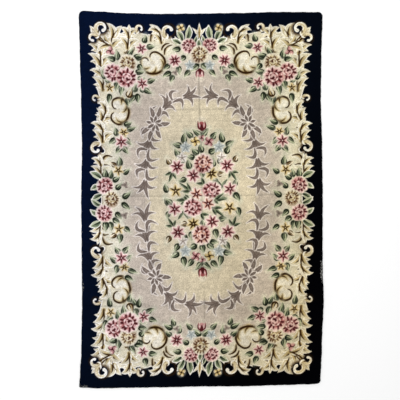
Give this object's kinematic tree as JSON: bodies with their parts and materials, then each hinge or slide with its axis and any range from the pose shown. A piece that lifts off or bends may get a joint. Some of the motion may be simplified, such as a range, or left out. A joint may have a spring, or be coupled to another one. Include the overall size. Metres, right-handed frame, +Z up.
{
  "type": "hooked rug",
  "caption": "Flat rectangular hooked wool rug with a rounded rim and soft fold creases, to lie on a floor.",
  "frame": {"origin": "on the floor under the middle of the rug's bounding box", "axes": "+Z up out of the pile, +Y along the rug's length to its top edge, +X across it to its right edge seen from above"},
  "size_m": [1.6992, 2.615, 0.011],
  "materials": {
    "hooked_wool": "matte looped wool pile"
  },
  "bodies": {
    "root": {"rug": "hooked_wool"}
  },
  "joints": []
}
